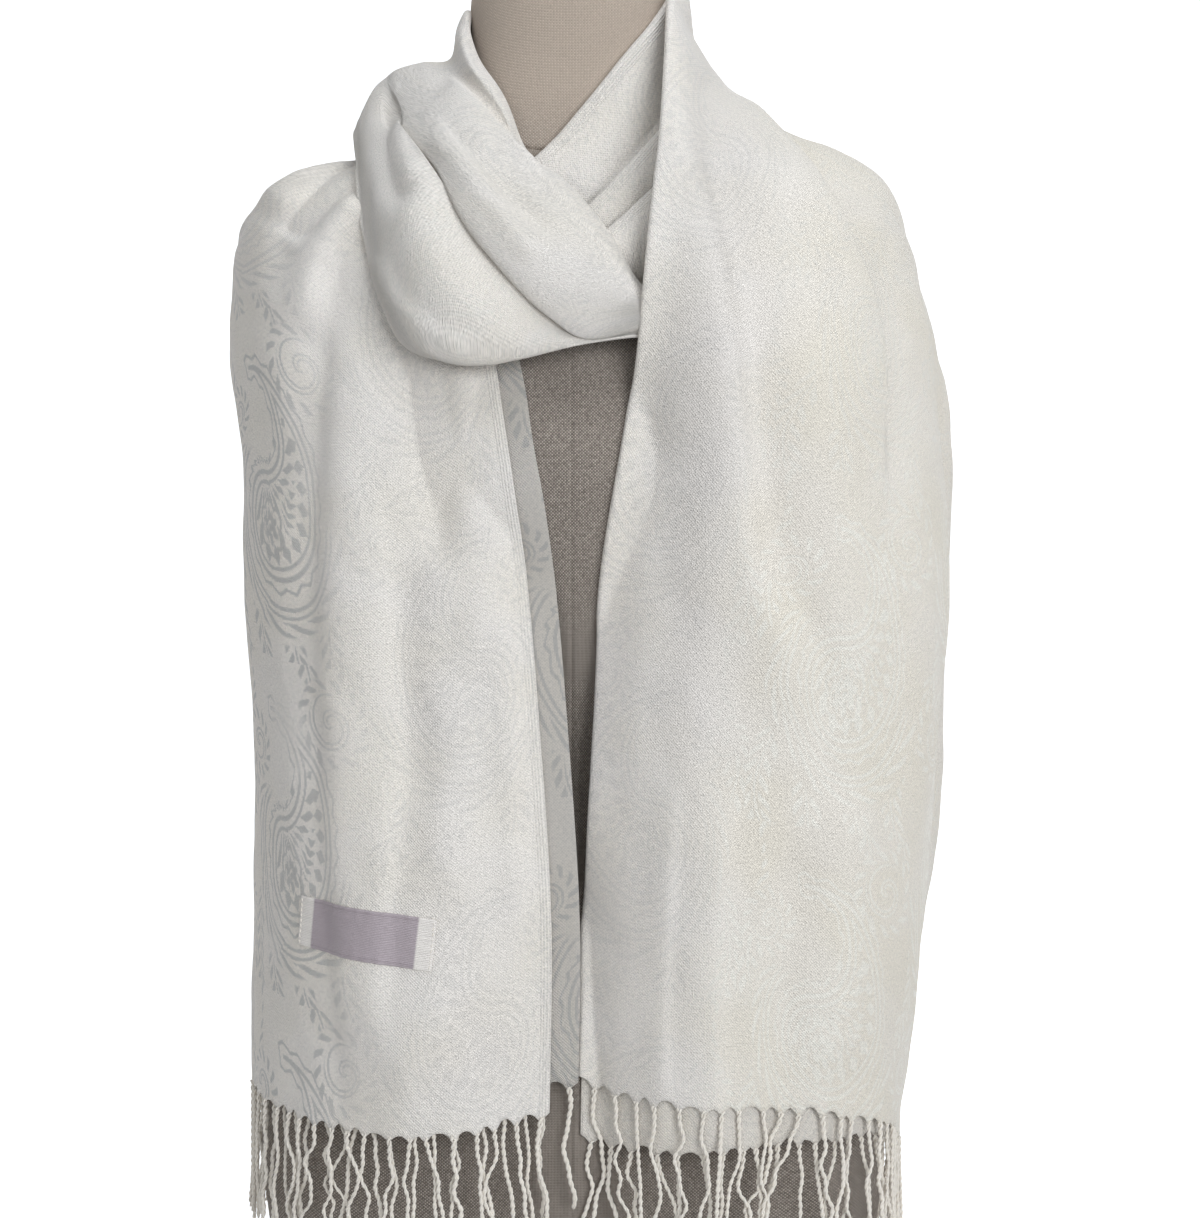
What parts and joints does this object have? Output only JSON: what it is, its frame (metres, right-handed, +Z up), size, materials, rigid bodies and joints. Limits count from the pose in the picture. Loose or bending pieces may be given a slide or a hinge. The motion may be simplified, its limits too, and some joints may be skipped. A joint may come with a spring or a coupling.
{
  "type": "fringed shawl on a dress form",
  "caption": "Fringed paisley shawl wound once round the neck of a limbless dress form, both ends hanging down the front.",
  "frame": {"origin": "middle of the dress form's flat underside", "axes": "+Z up along the form, front towards -Y, the wearer's left towards +X"},
  "size_m": [0.4344, 0.2759, 0.83],
  "materials": {
    "form_linen": "natural greige linen, plain weave, matt",
    "shawl_cloth": "ivory wool and silk twill with a tone on tone paisley jacquard, soft sheen",
    "fringe_yarn": "ivory twisted yarn, matt",
    "label_satin": "pale grey lilac woven satin, bare"
  },
  "bodies": {
    "root": {"form_torso": "form_linen", "form_neck": "form_linen", "end_left_front": "shawl_cloth", "end_left_under": "shawl_cloth", "back_inner": "shawl_cloth", "end_right_front": "shawl_cloth", "end_right_under": "shawl_cloth", "back_outer": "shawl_cloth", "loop_left": "shawl_cloth", "loop_right_back": "shawl_cloth", "loop_right_middle": "shawl_cloth", "loop_right_front": "shawl_cloth", "fringe_left_front": "fringe_yarn", "fringe_left_under": "fringe_yarn", "fringe_right_front": "fringe_yarn", "fringe_right_under": "fringe_yarn", "label": "label_satin"}
  },
  "joints": []
}
